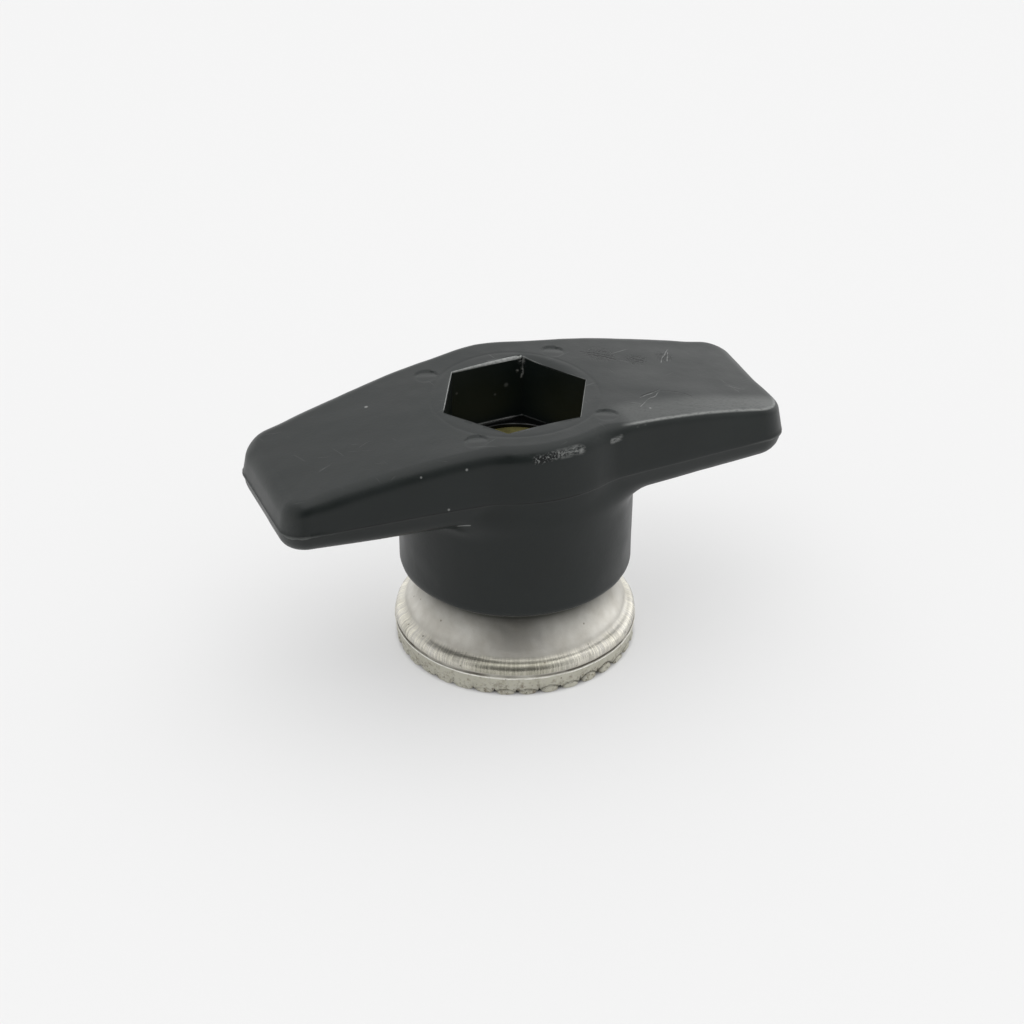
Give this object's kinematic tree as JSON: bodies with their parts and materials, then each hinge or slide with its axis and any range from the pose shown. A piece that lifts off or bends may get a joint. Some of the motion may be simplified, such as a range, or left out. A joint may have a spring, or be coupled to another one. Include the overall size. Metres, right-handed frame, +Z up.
{
  "type": "radiator bleed key",
  "caption": "Wing-handled key in black plastic with a hexagonal socket on top and a toothed nickel-plated foot around a square drive socket.",
  "frame": {"origin": "on the axis of the hub, in the plane of the foot's tooth tips", "axes": "+Z up along the hub towards the hexagonal socket, +X along the wing"},
  "size_m": [0.052, 0.0242, 0.027],
  "materials": {
    "handle_plastic": "moulded black nylon, satin, with scuffs, a parting line and ejector marks",
    "foot_nickel": "satin nickel plate with fine turning marks, rough and stained on the teeth",
    "core_brass": "dull, tarnished turned brass"
  },
  "bodies": {
    "root": {"handle": "handle_plastic", "foot": "foot_nickel", "socket_core": "core_brass"}
  },
  "joints": []
}
